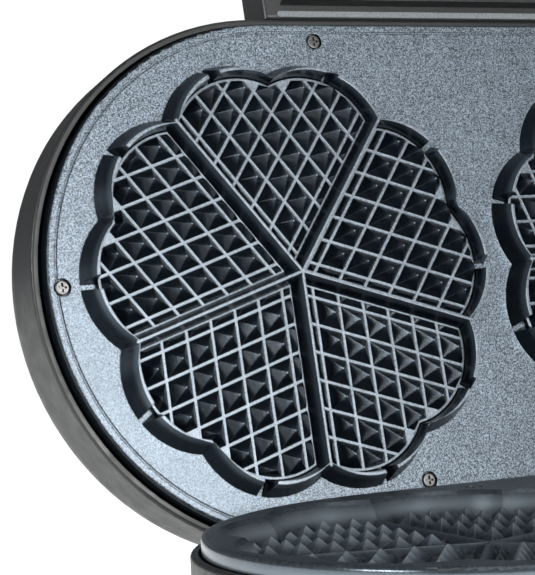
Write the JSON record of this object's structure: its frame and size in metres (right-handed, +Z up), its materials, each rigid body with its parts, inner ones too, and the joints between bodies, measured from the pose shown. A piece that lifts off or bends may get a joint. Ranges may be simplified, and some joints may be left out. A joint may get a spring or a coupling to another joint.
{
  "type": "waffle maker",
  "caption": "Hinged electric iron that bakes flower-shaped batches of heart waffles between two patterned plates, with its lid leaning back on its stop.",
  "frame": {"origin": "middle of the assembled footprint with the lid open, on the table", "axes": "+Z up, +X to the right, -Y to the front where the handles are, hinge at the back"},
  "size_m": [0.354, 0.3208, 0.3039],
  "materials": {
    "moulded_plastic": "satin",
    "coated_plate": "satin",
    "dark_coated_plate": "satin",
    "screw_steel": "satin",
    "element_steel": "satin",
    "reflector_sheet": "satin",
    "foot_rubber": "matte",
    "thermostat_can": "satin",
    "terminal_nylon": "matte",
    "lead_sleeve": "matte",
    "trim_plastic": "satin",
    "red_lens": "glossy",
    "green_lens": "glossy",
    "lamp_glass": "glossy",
    "fuse_metal": "satin"
  },
  "bodies": {
    "base": {"base_shell": "moulded_plastic", "lower_plate": "dark_coated_plate", "lower_plate_screws": "screw_steel", "lower_heating_element": "element_steel", "lower_reflector": "reflector_sheet", "base_cover": "moulded_plastic", "base_cover_screws": "screw_steel", "feet": "foot_rubber", "thermostat": "thermostat_can", "lower_thermal_fuse": "fuse_metal", "terminal_block": "terminal_nylon", "cord_gland": "moulded_plastic", "heater_leads": "lead_sleeve", "base_grip": "moulded_plastic", "base_grip_screws": "screw_steel", "hinge_pin_left": "screw_steel", "hinge_pin_right": "screw_steel"},
    "lid": {"lid_shell": "moulded_plastic", "upper_plate": "coated_plate", "upper_plate_screws": "screw_steel", "upper_heating_element": "element_steel", "upper_reflector": "reflector_sheet", "upper_thermal_fuse": "fuse_metal", "hinge_arm_left": "screw_steel", "hinge_arm_right": "screw_steel", "hinge_arm_screws": "screw_steel", "lid_handle": "moulded_plastic", "handle_trim": "trim_plastic", "lid_handle_screws": "screw_steel", "latch_pin": "screw_steel", "power_lens": "red_lens", "ready_lens": "green_lens", "indicator_lamps": "lamp_glass"},
    "latch": {"latch_clip": "moulded_plastic"}
  },
  "joints": [
    {"name": "lid_hinge", "type": "hinge", "parent": "base", "child": "lid", "pos_m": [0, 0.07236, 0.0419], "axis": [1, 0, 0], "range_deg": [0, 101.8]},
    {"name": "latch_swing", "type": "hinge", "parent": "lid", "child": "latch", "pos_m": [0, 0.15056, 0.26809], "axis": [1, 0, 0], "range_deg": [0, 30]}
  ]
}
